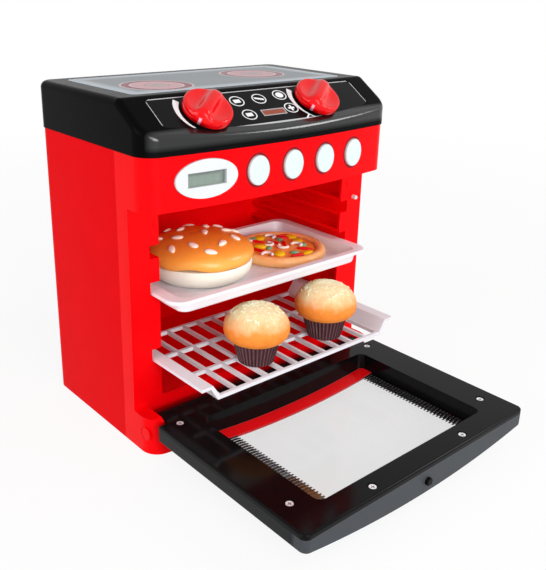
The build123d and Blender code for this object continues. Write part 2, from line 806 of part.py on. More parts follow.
# ---- hinge pins ----------------------------------------------------------------------------------
for hand, side in (("left", -1), ("right", 1)):
    outer_face = Plane((side * half_width, pivot_y, pivot_height), z_dir=(-side, 0, 0))
    with BuildPart() as hinge_pin:
        with BuildSketch(outer_face.offset(0.2)):
            Circle(pin_head_radius - 0.2)
        extrude(amount=pin_head_thickness - 0.2)
        with BuildSketch(outer_face.offset(0.2)):
            Circle(pin_radius)
        extrude(amount=cheek_thickness + pin_reach)
    finish(hinge_pin, f"hinge_pin_{hand}")

# ---- door ----------------------------------------------------------------------------------------
window_front = front - door_tip - window_tip_margin
window_y = front - (window_rear + window_front) / 2
window_length = window_front - window_rear
screw_half = door_half - screw_side_inset
door_screw_places = [
    (-screw_half, front - screw_rear_row), (screw_half, front - screw_rear_row),
    (-screw_half, door_tip + screw_front_row), (screw_half, door_tip + screw_front_row),
    (-screw_tip_half, door_tip + screw_tip_row), (screw_tip_half, door_tip + screw_tip_row),
]
latch_z = (door_bottom(0) + shell_top) / 2
latch_collar = latch_radius + 1.2
pane_under = door_under + door_wall

with BuildPart() as door_outer_shell:
    with BuildSketch(across(door_rear)):
        add(bow_region(door_half, door_under, door_bow, shell_top))
    extrude(amount=door_rear - door_tip)
    fillet(door_outer_shell.edges().filter_by(Axis.Z).group_by(Axis.Y)[0], door_corner)
    fillet(door_outer_shell.faces().sort_by(Axis.Z)[0].edges(), 1.2)
    with BuildSketch(across(door_rear - door_wall)):
        add(bow_region(door_half, pane_under, door_bow, far))
        Rectangle(2 * (door_half - door_wall), 2 * far, mode=Mode.INTERSECT)
    extrude(amount=door_rear - door_tip - 2 * door_wall, mode=Mode.SUBTRACT)
    for x, y in door_screw_places:
        with BuildSketch(Plane.XY.offset(door_bottom(x) + door_wall / 2)):
            with Locations((x, y)):
                Circle(door_post_radius)
        extrude(amount=shell_top - door_bottom(x) - door_wall / 2)
    block(
        (-latch_collar - 3, door_tip + door_wall / 2, door_bottom(0) + door_wall / 2),
        (latch_collar + 3, front - window_front - skirt_wall - 0.2, shell_top),
    )
    with BuildSketch(across(front - window_front - skirt_wall - 2)):
        with Locations((0, latch_z)):
            Circle(latch_collar + fit_gap)
    extrude(amount=front - window_front - skirt_wall - 2 - door_tip - door_wall, mode=Mode.SUBTRACT)
    with BuildSketch(across(0)):
        with Locations((0, latch_z)):
            Circle(latch_radius + running_gap)
    with BuildSketch(Plane.XY.offset(shell_top)):
        with Locations(*door_screw_places):
            Circle(door_screw_shank)
    extrude(amount=-6, mode=Mode.SUBTRACT)
    with BuildSketch(across(door_tip + 2 * door_wall)):
        with Locations((0, latch_z)):
            Circle(latch_radius + running_gap)
    extrude(amount=3 * door_wall, mode=Mode.SUBTRACT)
    with BuildSketch(Plane.XY):
        with Locations((0, window_y)):
            RectangleRounded(
                2 * (window_half - window_ledge), window_length - 2 * window_ledge, window_corner
            )
    extrude(amount=shell_top, mode=Mode.SUBTRACT)
finish(door_outer_shell, "door_outer_shell")

with BuildPart() as door_window:
    with BuildSketch(Plane.XY):
        with Locations((0, window_y)):
            RectangleRounded(
                2 * (window_half + skirt_wall), window_length + 2 * skirt_wall, window_corner
            )
    extrude(amount=shell_top)
    with BuildSketch(across(far)):
        add(bow_region(door_half, pane_under, door_bow, far))
        add(bow_region(door_half, pane_under + pane_thickness, door_bow, far), mode=Mode.SUBTRACT)
    extrude(amount=2 * far, mode=Mode.INTERSECT)
finish(door_window, "door_window")

with BuildPart() as door_inner_frame:
    # deep skirt down to the window pane
    with BuildSketch(Plane.XY):
        with Locations((0, window_y)):
            RectangleRounded(
                2 * (window_half + skirt_wall), window_length + 2 * skirt_wall, window_corner
            )
    extrude(amount=shell_top)
    with BuildSketch(across(far)):
        add(bow_region(door_half, pane_under + pane_thickness + 0.1, door_bow, far))
    extrude(amount=2 * far, mode=Mode.INTERSECT)
    # face plate
    with BuildSketch(Plane.XY.offset(shell_top)) as face_plate:
        with Locations((0, (door_rear + door_tip) / 2)):
            Rectangle(2 * door_half, door_rear - door_tip)
        fillet(face_plate.vertices().group_by(Axis.Y)[0], door_corner)
    extrude(amount=frame_thickness)
    fillet(door_inner_frame.faces().sort_by(Axis.Z)[-1].edges(), 1.5)
    with BuildSketch(Plane.XY):
        with Locations((0, window_y)):
            RectangleRounded(2 * window_half, window_length, window_corner - 1)
    extrude(amount=door_face + 1, mode=Mode.SUBTRACT)
    # web and hinge barrel
    web_top = pivot_height + barrel_radius - 0.4
    block((-barrel_half, door_rear - 3, shell_top), (barrel_half, pivot_y, web_top))
    block((-barrel_half, door_rear + 0.1, shell_top - 5), (barrel_half, pivot_y, web_top))
    with BuildSketch(Plane.YZ):
        with Locations((pivot_y, pivot_height)):
            Circle(barrel_radius)
    extrude(amount=barrel_half, both=True)
    with BuildSketch(Plane.YZ):
        with Locations((pivot_y, pivot_height)):
            Circle(pin_radius + running_gap)
    extrude(amount=barrel_half, both=True, mode=Mode.SUBTRACT)
    with BuildSketch(Plane.XY.offset(door_face)):
        with Locations(*door_screw_places):
            Circle(door_screw_radius + 0.8)
    extrude(amount=-1.8, mode=Mode.SUBTRACT)
    with BuildSketch(Plane.XY.offset(door_face)):
        with Locations(*door_screw_places):
            Circle(door_screw_shank + 0.2)
    extrude(amount=-frame_thickness, mode=Mode.SUBTRACT)
finish(door_inner_frame, "door_inner_frame")

with BuildPart() as door_screws:
    with BuildSketch(Plane.XY.offset(door_face - 1.8)):
        with Locations(*door_screw_places):
            Circle(door_screw_radius)
    extrude(amount=1.2)
    with BuildSketch(Plane.XY.offset(door_face - 1.8)):
        with Locations(*door_screw_places):
            Circle(door_screw_shank)
    extrude(amount=-7)
finish(door_screws, "door_screws")

latch_tip = door_tip - latch_out
collar_y = door_tip + door_wall + 0.1
with BuildPart() as latch_plunger:
    with BuildSketch(across(collar_y + 1.5)):
        with Locations((0, latch_z)):
            Circle(latch_radius)
    extrude(amount=collar_y + 1.5 - latch_tip)
    fillet(latch_plunger.faces().sort_by(Axis.Y)[0].edges(), 0.8)
    with BuildSketch(across(collar_y + 1.5)):
        with Locations((0, latch_z)):
            Circle(latch_collar)
    extrude(amount=1.5)
finish(latch_plunger, "latch_plunger")

spring_front = collar_y + 1.5 + latch_out + 0.1
spring_back = front - window_front - skirt_wall - 2
spring_turns = 3
with BuildPart() as latch_spring:
    with BuildLine() as coil:
        Helix(
            pitch=(spring_back - spring_front - 1) / spring_turns, height=spring_back - spring_front - 1,
            radius=latch_radius, center=(0, spring_front + 0.5, latch_z), direction=(0, 1, 0),
        )
    with BuildSketch(coil.line ^ 0):
        Circle(0.4)
    sweep()
finish(latch_spring, "latch_spring")

# ---- baking tray ---------------------------------------------------------------------------------
tray_front = recess_y - tray_out
tray_lip_z = tray_level + shelf_lift
tray_y = tray_front + shelf_depth / 2
tray_floor = tray_lip_z - tray_drop + tray_wall
dish_half = opening_half - 0.8
with BuildPart() as baking_tray:
    with BuildSketch(Plane.XY.offset(tray_lip_z)):
        with Locations((0, tray_y)):
            RectangleRounded(2 * dish_half, shelf_depth - 8, tray_corner - 2)
    extrude(amount=-tray_drop, taper=12)
    fillet(baking_tray.faces().sort_by(Axis.Z)[0].edges(), 3)
    with BuildSketch(Plane.XY.offset(tray_lip_z)):
        with Locations((0, tray_y)):
            RectangleRounded(2 * lip_half, shelf_depth, tray_corner)
    extrude(amount=lip_thickness)
    fillet(baking_tray.faces().sort_by(Axis.Z)[-1].edges(), 1)
    with BuildSketch(Plane.XY.offset(tray_lip_z + lip_thickness)):
        with Locations((0, tray_y)):
            RectangleRounded(2 * (dish_half - tray_wall), shelf_depth - 8 - 2 * tray_wall, tray_corner - 4)
    extrude(amount=-lip_thickness - tray_drop + tray_wall, taper=12, mode=Mode.SUBTRACT)
finish(baking_tray, "baking_tray")

# ---- oven rack: a moulded grille with sloping flanges --------------------------------------------
rack_front = recess_y - rack_out
rack_back = rack_front + shelf_depth
rack_lip_z = rack_level + shelf_lift
rack_low = rack_lip_z - rack_drop
rack_y = (rack_front + rack_back) / 2
grille_half = opening_half - 8
cell_x = (2 * grille_half - bar_width) / rack_columns
cell_y = (shelf_depth - bar_width) / rack_rows
with BuildPart() as oven_rack:
    with BuildSketch(Plane.XY.offset(rack_low)):
        with Locations((0, rack_y)):
            Rectangle(2 * grille_half, shelf_depth)
            with GridLocations(cell_x, cell_y, rack_columns, rack_rows):
                Rectangle(cell_x - bar_width, cell_y - bar_width, mode=Mode.SUBTRACT)
    extrude(amount=bar_thickness)
    with BuildSketch(across(rack_back)) as flange:
        with BuildLine():
            Polyline(
                (grille_half - 1, rack_low), (grille_half + 1, rack_low),
                (opening_half - 1, rack_lip_z), (lip_half, rack_lip_z),
                (lip_half, rack_lip_z + lip_thickness), (opening_half - 2.5, rack_lip_z + lip_thickness),
                (grille_half - 1, rack_low + bar_thickness), (grille_half - 1, rack_low),
            )
        make_face()
        mirror(about=Plane.YZ)
    extrude(amount=shelf_depth)
finish(oven_rack, "oven_rack")

# ---- play food -----------------------------------------------------------------------------------
burger_x, burger_y = -33.5, front + 53.0
pizza_x, pizza_y = 49.3, front + 49.0
cake_places = {"left": (-29.0, front - 12.0), "right": (45.0, front - 12.0)}
food_gap = 0.1
burger_low = tray_floor + food_gap
bun_low = burger_low + filling_height + food_gap

with BuildPart() as burger_filling:
    with BuildSketch(Plane.XZ):
        with BuildLine():
            Polyline((0, 0), (burger_radius - 9, 0))
            ThreePointArc(
                (burger_radius - 9, 0), (burger_radius - 3, filling_height * 0.4),
                (burger_radius - 2, filling_height),
            )
            Polyline((burger_radius - 2, filling_height), (0, filling_height), (0, 0))
        make_face()
    revolve(axis=Axis.Z)
burger_filling.part.position = (burger_x, burger_y, burger_low)
finish(burger_filling, "burger_filling")

with BuildPart() as burger_bun:
    with BuildSketch(Plane.XZ):
        with BuildLine():
            Line((0, 0), (burger_radius - 2, 0))
            Bezier(
                (burger_radius - 2, 0), (burger_radius + 6, bun_height * 0.5),
                (burger_radius * 0.75, bun_height), (0, bun_height),
            )
            Line((0, bun_height), (0, 0))
        make_face()
    revolve(axis=Axis.Z)
burger_bun.part.position = (burger_x, burger_y, bun_low)
finish(burger_bun, "burger_bun")

with BuildPart() as pizza:
    with BuildSketch(Plane.XZ):
        with BuildLine():
            Polyline((0, 0), (pizza_radius - 2, 0))
            ThreePointArc(
                (pizza_radius - 2, 0), (pizza_radius, pizza_height * 0.5),
                (pizza_radius - 3, pizza_height),
            )
            ThreePointArc(
                (pizza_radius - 3, pizza_height), (pizza_radius - 7, pizza_height - 0.5),
                (pizza_radius - 9, pizza_height - 2.5),
            )
            Polyline((pizza_radius - 9, pizza_height - 2.5), (0, pizza_height - 2), (0, 0))
        make_face()
    revolve(axis=Axis.Z)
pizza.part.position = (pizza_x, pizza_y, burger_low)
finish(pizza, "pizza")

rack_top = rack_low + bar_thickness
for hand, (x, y) in cake_places.items():
    with BuildPart() as cup:
        for low, radius in ((0, cup_bottom_radius), (cup_height, cup_top_radius)):
            with BuildSketch(Plane.XY.offset(low)):
                RegularPolygon(radius, cup_flutes)
                with PolarLocations(radius * 0.985, cup_flutes):
                    Circle(radius * 0.04)
        loft()
    cup.part.position = (x, y, rack_top + food_gap)
    finish(cup, f"cupcake_cup_{hand}")

    with BuildPart() as cake:
        with BuildSketch(Plane.XZ):
            with BuildLine():
                Line((0, 0), (cup_top_radius - 1, 0))
                Bezier(
                    (cup_top_radius - 1, 0), (cake_radius + 6, cake_height * 0.05),
                    (cake_radius + 4, cake_height), (0, cake_height),
                )
                Line((0, cake_height), (0, 0))
            make_face()
        revolve(axis=Axis.Z)
    cake.part.position = (x, y, rack_top + cup_height + 2 * food_gap)
    finish(cake, f"cupcake_cake_{hand}")
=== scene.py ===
# %% [markdown]
# # A toy oven, dressed for its picture
# A play oven stands with its door open: a red case, a black hob with printed rings, two red knobs, white
# push buttons, and food on a tray and a rack. The solid parts come ready made from the CAD model, which is
# the frame here. It is loaded first, and nothing in it is moved or reshaped. This lesson gives every part
# a finish made of nodes, and adds what the CAD model leaves plain: the knobs' round rims, the bun, the
# seeds, the pizza's toppings and the sugar on the cakes.

# %% Load the frame
import random
from math import atan2, cos, pi, radians, sin, sqrt

import bmesh
import bpy
from mathutils import Matrix, Vector, noise


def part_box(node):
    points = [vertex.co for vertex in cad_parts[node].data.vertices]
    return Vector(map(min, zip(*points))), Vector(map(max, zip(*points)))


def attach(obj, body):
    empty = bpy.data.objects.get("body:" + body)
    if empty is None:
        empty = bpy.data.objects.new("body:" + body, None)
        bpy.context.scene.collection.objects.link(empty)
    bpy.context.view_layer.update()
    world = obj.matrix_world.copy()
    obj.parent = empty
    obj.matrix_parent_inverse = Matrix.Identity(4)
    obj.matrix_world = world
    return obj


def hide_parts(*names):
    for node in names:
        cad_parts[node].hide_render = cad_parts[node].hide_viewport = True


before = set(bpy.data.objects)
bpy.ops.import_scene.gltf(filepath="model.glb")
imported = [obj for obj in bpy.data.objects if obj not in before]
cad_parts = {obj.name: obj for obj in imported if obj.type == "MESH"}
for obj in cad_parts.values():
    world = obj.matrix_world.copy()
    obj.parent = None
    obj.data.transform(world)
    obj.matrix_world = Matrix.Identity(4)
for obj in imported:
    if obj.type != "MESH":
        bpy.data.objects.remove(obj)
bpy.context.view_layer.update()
random.seed(7)

# %% [markdown]
# ## Where things are
# The frame works in metres, and a toy is easier to think about in millimetres. This helper asks the frame
# for a part's box and gives its two corners in millimetres, so no place has to be typed in twice.

# %% Places in millimetres
FRONT = 7.25  # depth of the case's front face
CASE_TOP = 260
SLOPE_RISE, SLOPE_RUN = 20, 30  # of the console, from the front up to the hob's edge


def corners(node):
    """Lowest and highest corner of a node, in millimetres."""
    low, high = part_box(node)
    return Vector(low) * 1000, Vector(high) * 1000


low, high = corners("rear_shell")
print("case in mm:", [round(v) for v in high - low])

# %% [markdown]
# ## Colours
# A shader works with linear light, while people pick colours as they look on a screen. The helper turns a
# screen colour into the linear one, so that a colour renders about as it is written.

# %% Colours
def linear(colour):
    """Screen colour such as "#e00810" as the linear value that a shader takes."""
    parts = [int(colour[i : i + 2], 16) / 255 for i in (1, 3, 5)]
    return [c / 12.92 if c <= 0.04045 else ((c + 0.055) / 1.055) ** 2.4 for c in parts] + [1.0]


print("mid grey is linear", round(linear("#808080")[0], 3))

# %% [markdown]
# ## Shader maths as plain arithmetic
# A printed ring or a comb of lines is only a mask: a number that is 1 where there is ink and 0 elsewhere.
# Joining Math nodes by hand gets long, so a small class wraps a socket, and + - * / on it add the nodes.
# `below`, `above` and `between` cut a mask with a soft edge, which keeps a thin line from looking jagged.

# %% Shader values
class Value:
    """A shader value that takes part in plain arithmetic."""

    def __init__(self, nodes, socket):
        self.nodes = nodes
        self.socket = socket

    def math(self, operation, *others, clamp=False):
        return self.nodes.node("Math", (self, *others), operation=operation, use_clamp=clamp)

    def __add__(self, other):
        return self.math("ADD", other)

    def __sub__(self, other):
        return self.math("SUBTRACT", other)

    def __mul__(self, other):
        return self.math("MULTIPLY", other)

    def __truediv__(self, other):
        return self.math("DIVIDE", other)

    def __abs__(self):
        return self.math("ABSOLUTE")

    def __or__(self, other):
        return self.math("MAXIMUM", other)

    def __and__(self, other):
        return self.math("MINIMUM", other)

    __radd__ = __add__
    __rmul__ = __mul__

    def __rsub__(self, other):
        return self * -1 + other

    def below(self, edge, soft=0.2):
        """1 where this is under an edge, 0 where it is over it."""
        return ((edge - self) / soft).math("ADD", 0.5, clamp=True)

    def above(self, edge, soft=0.2):
        return ((self - edge) / soft).math("ADD", 0.5, clamp=True)

    def between(self, low, high, soft=0.2):
        return self.above(low, soft) * self.below(high, soft)


print("operators:", [name for name in vars(Value) if name.startswith("__") and name != "__init__"][:8])

# %% [markdown]
# ## Node trees
# One method adds every kind of node: it takes the node's type, its settings, and what goes into its
# sockets. The rest are short recipes on top of it, such as clouds of noise and a surface bump. They read
# Object coordinates, so a pattern stays on the part when the part moves.

# %% Node trees
class Nodes:
    """A node tree and the one method that adds nodes to it."""

    def __init__(self, tree):
        self.tree = tree

    def feed(self, socket, value):
        if isinstance(value, Value):
            self.tree.links.new(value.socket, socket)
        else:
            socket.default_value = linear(value) if isinstance(value, str) else value

    def node(self, kind, inputs, output=0, **settings):
        """Adds a node; inputs are values in order, or by socket name or number."""
        node = self.tree.nodes.new("ShaderNode" + kind)
        for name, value in settings.items():
            setattr(node, name, value)
        for key, value in inputs.items() if isinstance(inputs, dict) else enumerate(inputs):
            self.feed(node.inputs[key], value)
        return Value(self, node.outputs[output])

    def seen_directly(self):
        """1 for what the camera sees, also in a mirror or through glass, and 0 for light on the object."""
        rays = [self.node("LightPath", (), output=kind)
                for kind in ("Is Camera Ray", "Is Glossy Ray", "Is Transmission Ray")]
        return rays[0] | rays[1] | rays[2]


print("node kinds go in by name, such as", "ShaderNode" + "Math")

# %% [markdown]
# ## Finishes
# A finish is one material that a moulder would order: a plastic in a colour, a print, a metal. It holds a
# Principled shader, and its recipes are the ones that recur on a toy: a colour that drifts a little, fine
# grain in the surface, and distances that a printed shape is cut from.

# %% Finishes
class Finish(Nodes):
    """One node material with a Principled shader."""

    def __init__(self, name, **sockets):
        self.material = bpy.data.materials.new(name)
        self.material.use_nodes = True
        super().__init__(self.material.node_tree)
        self.shader = self.tree.nodes["Principled BSDF"]
        self.here = self.node("TexCoord", (), output="Object")
        self.set(**sockets)

    def set(self, **sockets):
        """Sets the shader's sockets, written as base_color or roughness."""
        for name, value in sockets.items():
            self.feed(self.shader.inputs[name.replace("_", " ").title().replace("Ior", "IOR")], value)
        return self

    def place(self, axes=None):
        """Object coordinates in millimetres, or those along an origin's own axes."""
        plain = [self.node("SeparateXYZ", [self.here], output=i) * 1000 for i in range(3)]
        if axes is None:
            return plain
        origin, *rows = axes
        moved = [value - start for value, start in zip(plain, origin)]
        return [moved[0] * row[0] + moved[1] * row[1] + moved[2] * row[2] for row in rows]

    def reach(self, x, y, centre, half=(1, 1)):
        """Distance from a centre, or the share of an oval's half width and height."""
        dx, dy = (x - centre[0]) / half[0], (y - centre[1]) / half[1]
        return (dx * dx + dy * dy).math("SQRT")

    def noise(self, size, detail=2.0, stretch=None):
        """Cloudy value from 0 to 1 whose blotches are about size millimetres wide."""
        where = self.here
        if stretch:
            where = self.node("VectorMath", {0: self.here, 1: stretch}, operation="MULTIPLY")
        return self.node("TexNoise", {"Vector": where, "Scale": 1000 / size, "Detail": detail})

    def specks(self, size):
        """Distance to the nearest of scattered points, 0 at a point."""
        return self.node("TexVoronoi", {"Vector": self.here, "Scale": 1000 / size})

    def mix(self, first, second, factor):
        return self.node("Mix", {0: factor, 6: first, 7: second}, output=2, data_type="RGBA")

    def bump(self, height, strength=0.3, distance=0.3):
        """Surface relief; the distance is in millimetres."""
        return self.node("Bump", {"Height": height, "Strength": strength, "Distance": distance / 1000})

    def shaded(self, colour, amount=0.06, size=30):
        """A colour that drifts a little lighter and darker over the surface."""
        dark = [c * (1 - amount) for c in linear(colour)[:3]] + [1.0]
        light = [min(1.0, c * (1 + amount)) for c in linear(colour)[:3]] + [1.0]
        return self.mix(dark, light, self.noise(size))


def dress(finish, *nodes):
    """Gives CAD nodes a finish."""
    for name in nodes:
        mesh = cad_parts[name].data
        mesh.materials.clear()
        mesh.materials.append(finish.material)
    print(finish.material.name, "on", ", ".join(nodes))


# %% [markdown]
# ## Meshes in millimetres
# New pieces are drawn with bmesh in millimetres, shrunk to metres at the end, given their finish, and hung
# on the body they ride on. A lathe makes round food from a profile, and a pebble is the rounded drop that
# seeds, peppers and sugar are made of.

# %% Mesh helpers
def piece(name, mesh, finish, body, replaces=()):
    """Turns a bmesh drawn in millimetres into a piece that rides on a body."""
    bmesh.ops.recalc_face_normals(mesh, faces=mesh.faces)
    bmesh.ops.scale(mesh, vec=(0.001, 0.001, 0.001), verts=mesh.verts)
    data = bpy.data.meshes.new(name)
    mesh.to_mesh(data)
    mesh.free()
    data.materials.append(finish.material)
    for face in data.polygons:
        face.use_smooth = True
    thing = bpy.data.objects.new(name, data)
    bpy.context.scene.collection.objects.link(thing)
    if replaces:
        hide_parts(*replaces)
    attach(thing, body)
    print(name, "rides on", body, "with", len(data.polygons), "faces")


def lathe(profile, segments, shift):
    """Closed round form from (radius, height) points, from the bottom centre to the top centre."""
    mesh = bmesh.new()
    rings = []
    for r, z in profile[1:-1]:
        ring = []
        for i in range(segments):
            angle = 2 * pi * i / segments
            radius, height = shift(r, z, angle)
            ring.append(mesh.verts.new((radius * cos(angle), radius * sin(angle), height)))
        rings.append(ring)
    bottom = mesh.verts.new((0, 0, profile[0][1]))
    top = mesh.verts.new((0, 0, profile[-1][1]))
    for i in range(segments):
        j = (i + 1) % segments
        for low, high in zip(rings, rings[1:]):
            mesh.faces.new((low[i], low[j], high[j], high[i]))
        mesh.faces.new((bottom, rings[0][j], rings[0][i]))
        mesh.faces.new((top, rings[-1][i], rings[-1][j]))
    return mesh


def pebble(mesh, centre, size, turn, normal=Vector((0, 0, 1)), taper=0.0, segments=10):
    """Adds a rounded drop: size is length, width and height, turned about the surface normal."""
    lean = Vector((0, 0, 1)).rotation_difference(normal).to_matrix().to_4x4()
    place = Matrix.Translation(centre) @ lean @ Matrix.Rotation(turn, 4, "Z")
    made = bmesh.ops.create_uvsphere(mesh, u_segments=segments, v_segments=6, radius=0.5)
    for vertex in made["verts"]:
        x, y, z = vertex.co
        pinch = 1 - taper * (x + 0.5)
        vertex.co = place @ Vector((x * size[0], y * size[1] * pinch, z * size[2]))


test = lathe([(0, 0), (1, 0), (1, 2), (0, 2)], 12, lambda r, z, angle: (r, z))
print("a lathed drum of 12 segments has", len(test.faces), "faces")
test.free()

# %% [markdown]
# ## Moulded plastics
# The case, the hob and the door are injection mouldings. Real mouldings are never a flat colour: the
# gloss changes in soft clouds, and the surface has a very fine orange peel. Both come from noise, one
# broad and one fine. Low specular levels keep the red and the black deep under a white studio. The
# liner's red is brighter than the case's, because hardly any light reaches the inside of an oven.

# %% Moulded plastics
def moulded(name, colour, roughness=0.25, peel=0.04, drift=0.05, **sockets):
    """Injection-moulded plastic with a faint orange peel and uneven gloss."""
    finish = Finish(name, **sockets)
    cloud = finish.noise(14, 3)
    return finish.set(
        base_color=finish.shaded(colour, drift),
        roughness=cloud * 0.1 + (roughness - 0.05),
        normal=finish.bump(finish.noise(0.9, 2), peel, 0.08),
    )


red = moulded("red_plastic", "#e0000a", 0.35, 0.03, 0.04, specular_ior_level=0.015)
dress(red, "rear_shell")
dress(moulded("liner_red", "#ff0208", 0.4, 0.03, 0.04, specular_ior_level=0.05), "oven_liner")
black = moulded("black_plastic", "#0d0d0e", 0.24, 0.03, 0.2, specular_ior_level=0.05)
dress(black, "battery_cover", "base_plate", "latch_plunger")
gloss = moulded("gloss_black_plastic", "#0b0a0b", 0.12, 0.02, 0.2, specular_ior_level=0.08)
dress(gloss, "door_inner_frame")
white = moulded("white_plastic", "#d6d9db", 0.3, 0.05, 0.02, specular_ior_level=0.25)
dress(white, "display_bezel", "door_switch_pin", "knob_shaft_left", "knob_shaft_right")
cool = moulded("button_plastic", "#d2dfe1", 0.3, 0.05, 0.02, specular_ior_level=0.25)
dress(cool, "button_1", "button_2", "button_3", "button_4")
shelf = moulded("shelf_plastic", "#e9e6ec", 0.34, 0.08, 0.03, specular_ior_level=0.3)
dress(shelf, "baking_tray", "oven_rack")
dress(moulded("dark_plastic", "#26282b", 0.5, 0.2), "battery_box", "speaker", "knob_switch_left",
      "knob_switch_right", "door_switch")
dress(moulded("light_diffuser", "#e7b6ba", 0.45, 0.1), "burner_lights")
dress(moulded("battery_wrap", "#3c5a46", 0.3, 0.05), "batteries")
dress(moulded("board_green", "#1f5a38", 0.35, 0.3), "circuit_board")

# %% [markdown]
# ## Polished hob, and door with a painted lit end
# Two black mouldings change over their length. The hob's rounded front edge is polished by hands and holds
# a clear highlight, so a coat is laid there and nowhere else, and its black is a shade lighter there. The
# door's outer shell is nearly black at its sides, and its crowned end that faces the room is painted a dark
# grey: painted light, standing in for the front lamps falling on it. Both are masks along one axis.

# %% Polished hob, and door with a painted lit end
# the first depth also sets how far the door's end is painted lighter, as painted light
FRONT_END_DEPTH, POLISHED_FROM = 10, 230  # of the hob's front edge, and how high it starts
POLISH = 0.75
for name, node, colours, level in (
    ("hob_black", "hob_cover", ("#060607", "#0c0d0e"), 0.02),
    ("satin_black_with_painted_lit_end", "door_outer_shell", ("#191a1c", "#3d4044"), 0.12),
):
    finish = Finish(name, specular_ior_level=level, coat_roughness=0.16)
    _, y, z = finish.place()
    front_end = y.below(corners(node)[0].y + FRONT_END_DEPTH, 3)
    cloud = finish.noise(14, 3)
    finish.set(
        # the door's lighter end is painted light from the front lamps, not a different finish
        base_color=finish.mix(finish.shaded(colours[0], 0.15), colours[1], front_end),
        roughness=cloud * 0.1 + (0.22 if node == "hob_cover" else 0.36),
        normal=finish.bump(finish.noise(0.9, 2), 0.04, 0.08),
    )
    if node == "hob_cover":
        finish.set(coat_weight=front_end * z.above(POLISHED_FROM, 4) * POLISH, coat_ior=1.65)
    dress(finish, node)

# %% [markdown]
# ## The red front
# The front moulding is the same red plastic, but painted a little lighter than the case: painted light for
# a face turned to the lamps. Each push button and the clock's bezel sit in a hole with a thin dark gap
# round them. The gap itself is a hair wide, so its shadow is painted as an oval line in the colour, only on
# the front face. The line's middle and size come from the parts themselves.

# %% Red front with painted gap shadows
front_red = Finish("front_red", specular_ior_level=0.05)
x, y, z = front_red.place()
gap_shadow = None
for node in ("display_bezel", "button_1", "button_2", "button_3", "button_4"):
    low, high = corners(node)
    half = (high - low) / 2
    share = front_red.reach(x, z, ((low.x + high.x) / 2, (low.z + high.z) / 2), (half.x, half.z))
    line = share.below(1 + 0.45 / half.x, 0.45 / half.x)
    gap_shadow = line if gap_shadow is None else gap_shadow | line
gap_shadow = gap_shadow * y.below(FRONT + 2, 1)
front_red.set(
    # the front's red is painted a little lighter than the case, as painted light; the gap ovals are painted
    # shadow
    base_color=front_red.mix(front_red.shaded("#f0020a", 0.04), "#6a1a20", gap_shadow * 0.8),
    roughness=front_red.noise(14, 3) * 0.1 + 0.25,
    normal=front_red.bump(front_red.noise(0.9, 2), 0.03, 0.08),
)
dress(front_red, "front_frame", "hinge_pin_left", "hinge_pin_right")

# %% [markdown]
# ## Rubber and steel
# Rubber is matt with a fine grain. Screws and springs are steel, drawn or turned, so their grain runs one
# way: the same noise stretched along one axis drives both colour and roughness.

# %% Rubber and steel
rubber = Finish("rubber", base_color="#202122")
rubber.set(roughness=rubber.noise(2) * 0.2 + 0.65, normal=rubber.bump(rubber.noise(0.6), 0.3, 0.1))
dress(rubber, "rubber_feet", "keypad")

steel = Finish("steel", metallic=1.0)
turned = steel.noise(0.6, 2, (1, 1, 6))
steel.set(base_color=steel.mix("#9a9da1", "#d9dbde", turned), roughness=turned * 0.2 + 0.22)
dress(steel, "case_screws", "cover_screw", "battery_contacts", "board_screws", "latch_spring")

# %% [markdown]
# ## Door screws
# Six bright screws hold the door's inner frame. Each head has a cross cut that dents the bump, and the dark
# plus sign in its colour is painted shade inside the cut.

# %% Door screws
DOOR_SCREWS = [(-101, -5.25), (101, -5.25), (-101, -121.75), (101, -121.75), (-48, -142.75), (48, -142.75)]
CUT_HALF_WIDTH, CUT_REACH = 0.35, 1.5
screw = Finish("screw_head", metallic=0.45)
x, y, _ = screw.place()
cut_and_shade = None
for sx, sy in DOOR_SCREWS:
    dx, dy = abs(x - sx), abs(y - sy)
    cross = (dx & dy).below(CUT_HALF_WIDTH) * (dx | dy).below(CUT_REACH)
    cut_and_shade = cross if cut_and_shade is None else cut_and_shade | cross
screw.set(
    # the dark plus sign in the colour is painted shade inside the cross cut
    base_color=screw.mix("#f2f4f6", "#5a5b5d", cut_and_shade), roughness=screw.noise(0.5) * 0.15 + 0.25,
    normal=screw.bump(cut_and_shade * -1, 0.6, 0.4),
)
dress(screw, "door_screws")

# %% [markdown]
# ## Knobs
# The knobs are glossy red: a round skirt, a shallow dish and a grip ridge across it. The CAD knob has the
# same grip, cut by two straight scoops, and this mesh gives it the round rim that the moulding has. A pale
# pink pointer is printed on the edge. It is easiest to draw in the slope's own axes: x across the oven, v
# up the slope from its upper edge, and the rise out of it.

# %% Knobs
SLOPE = atan2(SLOPE_RISE, SLOPE_RUN)
UPPER_EDGE = (0, FRONT + SLOPE_RUN, CASE_TOP)
SLOPE_AXES = (UPPER_EDGE, (1, 0, 0), (0, cos(SLOPE), sin(SLOPE)), (0, -sin(SLOPE), cos(SLOPE)))
KNOBS = {"left": (-59, -22), "right": (46, -22)}
POINTER = radians(218.5)  # it points down to the left, and the grip ridge lies along it


def pointer(x, v, centre, half, start, end):
    """Mask of a bar that points away from a centre."""
    dx, dv = x - centre[0], v - centre[1]
    along = dx * cos(POINTER) + dv * sin(POINTER)
    side = abs(dx * -sin(POINTER) + dv * cos(POINTER))
    return side.below(half) * along.between(start, end)


